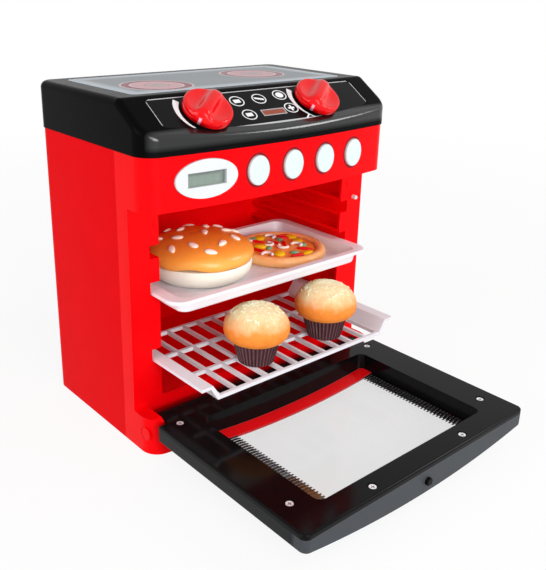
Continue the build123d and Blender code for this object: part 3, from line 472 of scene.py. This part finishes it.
KNOB_RADIUS, KNOB_TOP, KNOB_LIFT = 18, 11.5, 0.6
GRIP_HALF, GRIP_END, GRIP_CROWN = 5.2, 17.7, 0.8  # half width, half length, and the fall along it
DISH_RADIUS, DISH_FLOOR, DISH_DEPTH = 15, 4.6, 1.7
knob_profile = [(0, 0), (17.4, 0), (18, 0.6), (18, 4.6), (17.8, 5.5), (17.3, 6.2), (16.6, 6.5), (15.8, 6.4)]
for r in range(DISH_RADIUS, 0, -1):
    knob_profile.append((r, DISH_FLOOR + DISH_DEPTH * (r / DISH_RADIUS) ** 2))
knob_profile.append((0, KNOB_TOP))


def knob_shift(r, z, angle):
    """Lifts the grip ridge out of the dish and rounds its two ends down to the skirt."""
    across = r * sin(angle - POINTER)
    ridge = max(0.0, 1 - (r / GRIP_END) ** 10) / (1 + (across / GRIP_HALF) ** 4)
    crown = KNOB_TOP - GRIP_CROWN * (r / KNOB_RADIUS) ** 2
    return r, z + (crown - z) * ridge


for hand, place in KNOBS.items():
    knob = Finish("knob_plastic_" + hand, specular_ior_level=0.25)
    x, v, rise = knob.place(SLOPE_AXES)
    mark = pointer(x, v, place, 1.0, KNOB_RADIUS - 1.4, KNOB_RADIUS + 1) * rise.below(6.5, 0.4)
    knob.set(
        base_color=knob.mix(knob.shaded("#e20008", 0.05), "#f7a8bd", mark),
        roughness=knob.noise(10) * 0.08 + 0.1,
        normal=knob.bump(knob.noise(0.9), 0.03, 0.08),
    )
    mesh = lathe(knob_profile, 96, knob_shift)
    origin, along, up, out = (Vector(axis) for axis in SLOPE_AXES)
    turn = Matrix((along, up, out)).transposed().to_4x4()
    middle = origin + along * place[0] + up * place[1] + out * KNOB_LIFT
    bmesh.ops.transform(mesh, matrix=Matrix.Translation(middle) @ turn, verts=mesh.verts)
    piece("dial_" + hand, mesh, knob, hand + "_knob", replaces=["knob_" + hand])

# %% [markdown]
# ## Console print
# White ink on the black slope: round each knob a crescent that thins out as the heat falls, with one tick,
# and between them five heat signs, each a plain shape in an oval. All of it is masks. The crescent is a
# ring whose width follows the angle. The signs are plain shapes, and the label place is a plain strip.

# %% Console print
def crescent(x, v, centre, radius, start, end, wide, narrow):
    """Mask of a ring that is wide at its start angle and narrow at its end."""
    dx, dv = x - centre[0], v - centre[1]
    turn = dv.math("ARCTAN2", dx) * (180 / pi)
    turn = turn + turn.below(0, 0.001) * 360
    along = (turn - start) / (end - start)
    width = along * (narrow - wide) + wide
    reach = (dx * dx + dv * dv).math("SQRT")
    return (abs(reach - radius - width * 0.5) - width * 0.5).below(0, 0.25) * along.between(0, 1, 0.01)


SIGNS = [(-25.7, -13.5, "bar"), (-4.7, -13.3, "slash"), (16.7, -11.6, "disc"), (-23.6, -28, "bar"),
         (18.2, -26.1, "cross")]
STRIP_PLACE, STRIP_HALF = (-0.4, -28), (10.5, 2.4)
console = Finish("console_print", specular_ior_level=0.06)
x, v, _ = console.place(SLOPE_AXES)
low, high = corners("console_panel")
low_edge, top_edge = (
    (corner.y - UPPER_EDGE[1]) * cos(SLOPE) + (corner.z - UPPER_EDGE[2]) * sin(SLOPE)
    for corner in (low, high)
)
# painted highlight: a pale line along the panel's top, lower and side edges, where its rims catch the light
edge_highlight = v.above(top_edge - 1.3, 0.3) | v.below(low_edge + 2.4, 0.3) | abs(x).above(high.x - 0.8, 0.3)
ink = None
for place in KNOBS.values():
    marks = crescent(x, v, place, 19.6, 137, 238, 4.6, 0.5) | pointer(x, v, place, 0.6, 20, 26.5)
    ink = marks if ink is None else ink | marks
for sx, sv, sign in SIGNS:
    dx, dv = x - sx, v - sv
    across, along = abs(dx), abs(dv)
    mark = console.reach(x, v, (sx, sv), (6.3, 5.2)).between(0.86, 1.0, 0.08)
    if sign == "bar":
        mark = mark | across.below(3) * along.below(1.7)
    elif sign == "disc":
        mark = mark | console.reach(x, v, (sx, sv), (3.6, 2.8)).below(1, 0.1)
    elif sign == "slash":
        mark = mark | abs(dv + dx * 0.3).below(0.9) * across.below(4)
    else:
        mark = mark | (across & along).below(0.9) * (across | along).below(2.9)
    ink = ink | mark
across, along = abs(x - STRIP_PLACE[0]), abs(v - STRIP_PLACE[1])
strip = across.below(STRIP_HALF[0], 0.4) * along.below(STRIP_HALF[1], 0.4)
rim_line = across.below(STRIP_HALF[0] + 0.8, 0.3) * along.below(STRIP_HALF[1] + 0.8, 0.3) * (1 - strip)
console.set(
    base_color=console.mix(
        console.mix("#0b0b0c", "#94503f", strip), "#f4f5f6", ink | rim_line * 0.5 | edge_highlight * 0.6
    ),
    roughness=console.noise(12) * 0.08 + 0.2 + ink * 0.15,
    normal=console.bump(console.noise(0.9), 0.03, 0.08),
)
dress(console, "console_panel")

# %% [markdown]
# ## Hob print
# The hob is a printed film: grey with dark specks like enamelled glass, a bluish lighter border, and two
# sets of heat rings in faded pink and maroon. Rings are bands of the distance from a centre. Noise breaks
# the ink up, because a clean ring would look like paint on new glass.

# %% Hob print
hob = Finish("hob_print", specular_ior_level=0.12)
x, y, _ = hob.place()
low, high = corners("hob_panel")
grain, cloud = hob.noise(0.8, 4), hob.noise(50, 2)
speck = hob.specks(1.3).below(0.26, 0.14)
film = hob.mix("#72787c", "#858b90", cloud)
film = hob.mix(film, "#b4bac0", (grain - 0.4) * 0.7 + speck * 0.25)
edge = (x - low.x) & (high.x - x) & (y - low.y) & (high.y - y)
film = hob.mix(film, "#c2cbd3", edge.below(9, 10) * 0.9)
film = hob.mix(film, "#9db4c6", edge.between(1.0, 2.2, 0.8) * 0.5)
BURNERS = [((-60, FRONT + 70), 1.0), ((48, FRONT + 90), 0.8)]
RINGS = [(0, 27, "#c9a3a6", 0.7), (20.6, 26, "#84283c", 1.0), (9.4, 18.6, "#d79da4", 0.95),
         (8.4, 9.6, "#b06a76", 0.6), (0, 8.2, "#c2a9aa", 0.8)]
for centre, strength in BURNERS:
    reach = hob.reach(x, y, centre)
    mottled = hob.noise(2.5, 3) * 1.8
    for inner, outer, colour, weight in RINGS:
        film = hob.mix(film, colour, reach.between(inner, outer, 0.6) * mottled * (weight * strength))
    for inner, outer in ((26.3, 27.5), (19.0, 20.3)):
        film = hob.mix(film, "#e6c9cb", reach.between(inner, outer, 0.4) * 0.9)
    across = x - centre[0]
    core = abs(across).below(5, 0.8) * abs(y - centre[1]).below(3, 0.8)
    film = hob.mix(film, "#857c7d", core * (across * 4).math("SINE").above(0, 0.6) * 0.7)
hob.set(base_color=film, roughness=grain * 0.2 + 0.25, normal=hob.bump(grain, 0.08, 0.05))
dress(hob, "hob_panel")

# %% [markdown]
# ## Clock display
# The clock is a small grey-green screen behind a clear cover. It is blank, with faint rows. The cover
# would cast a shadow along two of its edges, so the screen darkens towards its top and right. Clear
# plastic is a low alpha here, because that is what most viewers can show.

# %% Clock display
low, high = corners("display_glass")
screen = Finish("lcd_screen", specular_ior_level=0.3)
x, y, z = screen.place()
shade = ((high.z - z).below(2.2, 2.4) * 0.75) | ((high.x - x).below(2.6, 2.4) * 0.6)
rows = (z * 7).math("SINE") * 0.5 + 0.5
screen.set(
    base_color=screen.mix(screen.mix("#7e8d82", "#738278", rows * 0.4), "#3d4843", shade),
    roughness=screen.noise(5) * 0.1 + 0.25,
)
dress(screen, "display_module")

clear = Finish("display_cover", base_color="#b9c6c0", alpha=0.12)
clear.set(roughness=clear.noise(8) * 0.04 + 0.06)
dress(clear, "display_glass")

# %% [markdown]
# ## Door window
# The window is one clear pane with a printed comb of fine black lines down both sides, as real oven doors
# have. Along the hinge side a red strip is painted on the pane: painted light standing in for the lit red
# base seen through it. The comb is a sine wave along the pane, cut to teeth, inside a band at each side,
# and past the band the print is solid. Where there is ink or painted red the pane turns solid too: the same
# masks drive colour and alpha.

# %% Door window
TEETH_PITCH, COMB_WIDTH, LEFT_BAND, RIGHT_BAND = 3.0, 8.0, -63.5, 75.5
PAINTED_BASE_FROM, PAINTED_BASE_TO = -25.0, -12.6
window = Finish("door_window", specular_ior_level=0.8)
x, y, _ = window.place()
teeth = (y * (2 * pi / TEETH_PITCH)).math("SINE").above(-0.1, 0.15)
# painted light: this red strip stands in for the lit red base seen through the pane at the hinge side
strip = y.between(PAINTED_BASE_FROM, PAINTED_BASE_TO, 0.8)
beside = x.below(LEFT_BAND, 0.3) | x.above(RIGHT_BAND, 0.3)
solid = x.below(LEFT_BAND - COMB_WIDTH, 0.3) | x.above(RIGHT_BAND + COMB_WIDTH, 0.3)
comb = (beside * teeth | solid) * (1 - strip) | y.above(PAINTED_BASE_TO, 0.6)
haze = window.noise(35, 2)
clear = window.mix("#8c8e90", "#a2a4a6", haze)
window.set(
    base_color=window.mix(window.mix(clear, "#ff0e16", strip), "#080809", comb),
    roughness=haze * 0.06 + 0.04,
    alpha=(comb | strip) * 0.85 + 0.15,
)
dress(window, "door_window")

# %% [markdown]
# ## Burger bun
# A play bun is one glossy moulding whose lower rim waves over the filling. A lathe gives the dome, and a
# small shift by angle makes the rim droop in waves. The colour runs from pale at the rim to deeper brown
# on the crown, which is how a baked bun browns.

# %% Burger bun
low, high = corners("burger_bun")
BUN = Vector(((low.x + high.x) / 2, (low.y + high.y) / 2, low.z))
BUN_RADIUS, BUN_WAIST, BUN_CROWN = 42.6, 4.5, 15.3  # the crown rises above the waist


def bun_height(reach):
    """Height of the bun's top surface above its rim at a distance from the middle."""
    return BUN_WAIST + BUN_CROWN * sqrt(max(0.0, 1 - (reach / BUN_RADIUS) ** 2))


def bun_shift(r, z, angle):
    swell = noise.noise(Vector((cos(angle) * 1.3, sin(angle) * 1.3, z * 0.04)))
    droop = max(0.0, 1 - z / 8) * (r / 42) ** 4
    wave = sin(angle * 5 + 0.6) + 0.7 * sin(angle * 8 + 2.0)
    return r * (1 + 0.006 * swell) - 0.25 * droop * wave, z + 0.95 * droop * wave + 0.25 * swell * (r < 41)


bun_profile = [(0, 1.6), (20, 1.6), (38, 1.3), (41, 0.9), (42, 1.2), (42.4, 2.6), (BUN_RADIUS, BUN_WAIST)]
for step in range(1, 20):
    r = BUN_RADIUS * cos(step * pi / 40)
    bun_profile.append((r, bun_height(r)))
bun_profile.append((0, bun_height(0)))
mesh = lathe(bun_profile, 96, bun_shift)
bmesh.ops.translate(mesh, vec=BUN, verts=mesh.verts)
crust = Finish("bun_crust", specular_ior_level=0.5)
x, y, z = crust.place()
toasted = ((z - BUN.z - 5) / 16).math("ADD", 0.0, clamp=True)
crust.set(
    base_color=crust.mix(
        crust.mix("#ffb04a", "#f0902f", toasted), "#d06c18", (crust.noise(16, 3) - 0.5) * 0.5
    ),
    roughness=crust.noise(6) * 0.12 + 0.24,
    normal=crust.bump(crust.noise(2.2, 3), 0.06, 0.3),
)
piece("bun", mesh, crust, "burger", replaces=["burger_bun"])

# %% [markdown]
# ## Sesame seeds and cream
# The seeds are teardrops pressed into the crust, each tilted to the surface under it: the slope of the
# dome at the seed's place gives the normal. They are scattered one by one, because evenly spaced seeds look
# like a pattern. The filling below is the CAD solid with a soft cream finish.

# %% Sesame seeds and cream
seed = Finish("sesame", specular_ior_level=0.3)
seed.set(base_color=seed.shaded("#fffbee", 0.04, 2), roughness=seed.noise(2) * 0.2 + 0.3)
SEEDS = [(-6.9, 17), (-20.5, 2.6), (1.7, -3.3), (23, -4), (-19.4, -16.6), (1.5, -26), (-13, -31), (14, 12),
         (28, 14), (-28, 18), (-10, 31), (10, 30), (-33, -8), (33, -3), (19, -20), (26, 27)]
mesh = bmesh.new()
for i, (sx, sy) in enumerate(SEEDS):
    reach = sqrt(sx * sx + sy * sy)
    rise = bun_height(reach + 0.5) - bun_height(reach - 0.5)
    normal = Vector((-rise * sx / reach, -rise * sy / reach, 1)).normalized()
    where = BUN + Vector((sx, sy, bun_height(reach) + 0.3))
    pebble(mesh, where, (10.2, 7.0, 2.7), 0.4 + 1.9 * i, normal, taper=0.45, segments=12)
piece("sesame_seeds", mesh, seed, "burger")

cream = Finish("cream_filling", specular_ior_level=0.25)
cream.set(
    base_color=cream.shaded("#fcfdee", 0.03, 12), roughness=cream.noise(8) * 0.15 + 0.35,
    normal=cream.bump(cream.noise(3, 3), 0.1, 0.3),
)
dress(cream, "burger_filling")

# %% [markdown]
# ## Pizza base
# The base is the CAD solid: a puffed crust round a sunken middle. Distance from the centre parts crust,
# sauce line and middle, and noise added to that distance keeps the borders from being perfect circles.

# %% Pizza base
low, high = corners("pizza")
PIZZA = Vector(((low.x + high.x) / 2, (low.y + high.y) / 2, low.z))
dough = Finish("pizza_base", specular_ior_level=0.35)
x, y, _ = dough.place()
patch = dough.noise(7, 3)
reach = dough.reach(x, y, PIZZA) + patch * 3
cheese = dough.mix("#ff9238", "#ffc060", (dough.noise(5, 4) - 0.3) * 1.5)
rim = dough.mix("#ffc888", "#ffa64e", (patch - 0.3) * 1.5)
base = dough.mix(rim, cheese, reach.below(31, 1.6))
dough.set(
    base_color=dough.mix(base, "#b04a20", reach.between(31, 32.6, 0.9) * 0.6),
    roughness=patch * 0.2 + 0.25,
    normal=dough.bump(dough.noise(3, 3), 0.4, 0.8),
)
dress(dough, "pizza")

# %% [markdown]
# ## Pizza toppings
# Bright toppings lie on the cheese: yellow and green pepper pieces, red strips, and mushroom slices bent
# like a U. Each kind is one mesh of many drops, with one finish. A mushroom slice is a row of small drops
# along an arc, which is quicker than sweeping a tube and looks as soft.

# %% Pizza toppings
TOPPING_HEIGHT = 6.4
TOPPINGS = {
    "cheese": (
        "#ffd21a", (13.5, 10.0, 3.6), "pizza_crust",
        [(0.4, 28, 50), (21.3, 1, 20), (-14, 9.2, 140), (-13.2, -13.5, 50), (25, 14, 90), (7, -27, 10)],
    ),
    "pepper_red": (
        "#e81018", (14.5, 4.0, 2.8), "pizza_crust",
        [(16.5, 15.2, 150), (-8.3, 21.5, 120), (2.2, 10.4, 100), (12.4, -17.5, 130), (-22, 3.2, 110),
         (8, 4, 60), (-4, -26, 165), (22, 20, 160)],
    ),
    "pepper_green": (
        "#7cb890", (8.0, 6.0, 3.2), "pizza_crust",
        [(-7, 29, 10), (11.3, 13.5, 90), (-10.8, 2.4, 40), (-1.5, -19.3, 150), (19, -8.5, 70)],
    ),
    "mushroom": (
        "#fffaf0", (3.8, 3.0, 2.4), "cream_filling",
        [(9, 23.8, 10), (-6, 9.6, 300), (0.5, -3, 200), (13, -6.5, 20), (-16.5, 23, 120), (-24, -10, 45)],
    ),
}
MUSHROOM_BEND, DROP_TURN = 4.2, 0.42  # radius of a slice's arc, and the angle from drop to drop
for name, (colour, size, slot, places) in TOPPINGS.items():
    topping = Finish("topping_" + name, specular_ior_level=0.3)
    topping.set(
        base_color=topping.shaded(colour, 0.12, 3), roughness=topping.noise(2) * 0.2 + 0.25,
        normal=topping.bump(topping.noise(1.2, 3), 0.2, 0.2),
    )
    mesh = bmesh.new()
    for i, (tx, ty, degrees) in enumerate(places):
        where, angle = PIZZA + Vector((tx, ty, TOPPING_HEIGHT)), radians(degrees)
        if name == "mushroom":
            for k in range(-4, 5):
                bend = angle + k * DROP_TURN
                spot = where + Vector((cos(bend) * MUSHROOM_BEND, sin(bend) * MUSHROOM_BEND, 0.8))
                pebble(mesh, spot, size, bend + pi / 2, segments=8)
        else:
            pebble(mesh, where, size, angle, taper=0.2 * (i % 3), segments=12)
    piece("pizza_" + name, mesh, topping, "pizza_slab")

# %% [markdown]
# ## Cupcake cups
# The cups are dark plum paper, folded into pleats. The CAD has the flutes, and the finish puts a pale line
# on every ridge: the angle about the cup's own middle, times the number of flutes, through a sine.

# %% Cupcake cups
FLUTES = 36
for hand in ("left", "right"):
    node = "cupcake_cup_" + hand
    low, high = corners(node)
    cup = Finish("cup_" + hand, specular_ior_level=0.1)
    x, y, _ = cup.place()
    turn = (y - (low.y + high.y) / 2).math("ARCTAN2", x - (low.x + high.x) / 2)
    ridge = (turn * FLUTES).math("SINE").above(0.35, 0.9)
    cup.set(
        base_color=cup.mix(cup.shaded("#45282d", 0.15, 6), "#8a6a6c", ridge * (cup.noise(4, 3) * 0.9)),
        roughness=cup.noise(3) * 0.15 + 0.45,
        normal=cup.bump(cup.noise(1, 2), 0.15, 0.2),
    )
    dress(cup, node)

# %% [markdown]
# ## Cupcakes
# Each cake is tan at its sides and fades to cream on top, where it is rough with grated sugar. The fade
# follows the height, pushed up and down by noise. The sugar is a heap of fine crossed shreds laid on the
# dome, thick in the middle and thinning out.

# %% Cupcakes
sugar = Finish("sugar_shreds", specular_ior_level=0.2)
sugar.set(
    base_color=sugar.mix("#fffdf0", "#e9d98a", (sugar.noise(2.5) - 0.3) * 2),
    roughness=sugar.noise(2) * 0.2 + 0.4,
)
SHREDS = 170  # on each cake
for hand in ("left", "right"):
    node = "cupcake_cake_" + hand
    low, high = corners(node)
    centre, half, tall = (low + high) / 2, (high.x - low.x) / 2, high.z - low.z
    cake = Finish("cake_" + hand, specular_ior_level=0.15)
    x, y, z = cake.place()
    height = (z - low.z) / tall
    patch = cake.noise(7, 4)
    frosted = (height + (patch - 0.5) * 0.5).above(0.64, 0.45)
    baked = cake.mix("#f7933c", "#ec7d22", (patch - 0.35) * 1.6)
    icing = cake.mix("#f6d49a", "#f8eec2", cake.noise(2.2, 4))
    cake.set(
        base_color=cake.mix(baked, icing, frosted),
        roughness=patch * 0.2 + 0.45,
        normal=cake.bump(cake.noise(1.3, 4) * (frosted + 0.35), 0.6, 0.7),
    )
    dress(cake, node)

    mesh = bmesh.new()
    for _ in range(SHREDS):
        angle, share = random.uniform(0, 2 * pi), random.uniform(0.0, 0.8)
        r = half * share
        lift = low.z + tall * (0.42 + 0.575 * sqrt(1 - share**2))
        normal = Vector((cos(angle) * share, sin(angle) * share, 0.9)).normalized()
        where = Vector((centre.x + r * cos(angle), centre.y + r * sin(angle), lift))
        size = (random.uniform(3.0, 5.4), 0.95, 0.95)
        pebble(mesh, where, size, random.uniform(0, pi), normal, segments=6)
    piece("sugar_" + hand, mesh, sugar, hand + "_cupcake")

# %% [markdown]
# ## A white studio
# Product pictures stand on white, but a white room would flood the object with light. The Light Path node
# parts the two: what the camera sees, also mirrored or through glass, is white, while the light that falls
# on the object is weaker. The paper floor mixes the same way, and keeps a faint shadow.

# %% White studio
ROOM_LIGHT, FLOOR_GLOW, CLEAR_OF_OBJECT = 0.42, 0.88, 350
world = bpy.data.worlds.new("studio")
bpy.context.scene.world = world
world.use_nodes = True
room = Nodes(world.node_tree)
background = world.node_tree.nodes["Background"]
room.feed(background.inputs["Color"], "#ffffff")
room.feed(background.inputs["Strength"], room.seen_directly() * (1 - ROOM_LIGHT) + ROOM_LIGHT)

floor_mesh = bmesh.new()
bmesh.ops.create_grid(floor_mesh, x_segments=2, y_segments=2, size=20)
floor_data = bpy.data.meshes.new("floor")
floor_mesh.to_mesh(floor_data)
floor_mesh.free()
floor = bpy.data.objects.new("floor", floor_data)
bpy.context.scene.collection.objects.link(floor)
paper = Finish("floor_paper", base_color="#fafafa", specular_ior_level=0.0)
paper.set(roughness=paper.noise(40) * 0.1 + 0.75)
glow = paper.node("Emission", {"Color": "#ffffff", "Strength": 1.0})
shader = Value(paper, paper.shader.outputs[0])
x, y, _ = paper.place()
away = ((paper.reach(x, y, (0, 0)) - CLEAR_OF_OBJECT) / 1000).math("ADD", 0.0, clamp=True)
share = paper.seen_directly() * (away * (1 - FLOOR_GLOW) + FLOOR_GLOW)
blend = paper.node("MixShader", (share, shader, glow))
paper.feed(paper.tree.nodes["Material Output"].inputs["Surface"], blend)
floor_data.materials.append(paper.material)
print("room light", ROOM_LIGHT, "floor", [round(v) for v in floor.dimensions])


# %% [markdown]
# ## Lamps
# Four soft area lamps. The front and key lamps reach into the oven, the side lamp lifts the left wall, and
# the small rim lamp is there for the bright line it draws along the hob's rounded edge. Each lamp's power
# comes from how much light it should add at the object, so moving a lamp doesn't change the exposure.

# %% Lamps
def lamp(name, place, aim, size, share, tall=None):
    """Area lamp that adds a share of full white light where it is aimed."""
    away = (Vector(aim) - Vector(place)).length
    light = bpy.data.lights.new(name, "AREA")
    light.shape = "RECTANGLE"
    light.size, light.size_y = size, tall or size
    light.energy = share * pi**2 * away**2
    thing = bpy.data.objects.new(name, light)
    bpy.context.scene.collection.objects.link(thing)
    thing.location = place
    thing.rotation_euler = (Vector(aim) - Vector(place)).to_track_quat("-Z", "Y").to_euler()
    print(name, round(light.energy, 1), "W at", round(away, 2), "m")


MIDDLE = (0, 0.03, 0.13)
lamp("key", (-0.5, -1.6, 0.85), MIDDLE, 0.9, 0.3)
lamp("front", (-0.25, -1.3, 0.4), MIDDLE, 0.6, 0.36)
lamp("side", (-1.6, 0.1, 0.7), MIDDLE, 0.9, 0.36)
lamp("rim", (1.15, -0.8, 1.0), MIDDLE, 0.4, 0.26, tall=0.55)

# %% [markdown]
# ## Camera
# The camera stands a little above the oven, in front of its left corner. Its axes are worked out from a
# turn about the vertical, a dip and a small roll, and put straight into its matrix.

# %% Camera
PICTURE_WIDTH, FOCAL_PIXELS, SHIFT_PIXELS = 546, 766.9, (23, -27)
STANDS_AT = (-0.3772, -0.40295, 0.3340)
turn, dip, roll = radians(40.51), radians(19.94), radians(1.12)
ahead = Vector((sin(turn) * cos(dip), cos(turn) * cos(dip), -sin(dip)))
level_right = Vector((cos(turn), -sin(turn), 0))
level_up = level_right.cross(ahead)
right = level_right * cos(roll) + level_up * sin(roll)
up = level_up * cos(roll) - level_right * sin(roll)
lens = bpy.data.cameras.new("camera")
lens.sensor_fit, lens.sensor_width = "HORIZONTAL", 36
lens.lens = lens.sensor_width * FOCAL_PIXELS / PICTURE_WIDTH
lens.shift_x, lens.shift_y = (pixels / PICTURE_WIDTH for pixels in SHIFT_PIXELS)
lens.clip_start, lens.clip_end = 0.01, 50
camera = bpy.data.objects.new("camera", lens)
bpy.context.scene.collection.objects.link(camera)
axes = Matrix((right, up, -ahead)).transposed().to_4x4()
camera.matrix_world = Matrix.Translation(STANDS_AT) @ axes
bpy.context.scene.camera = camera
bpy.context.scene.view_settings.view_transform = "Standard"
print("lens", round(lens.lens, 1), "mm")

# %% [markdown]
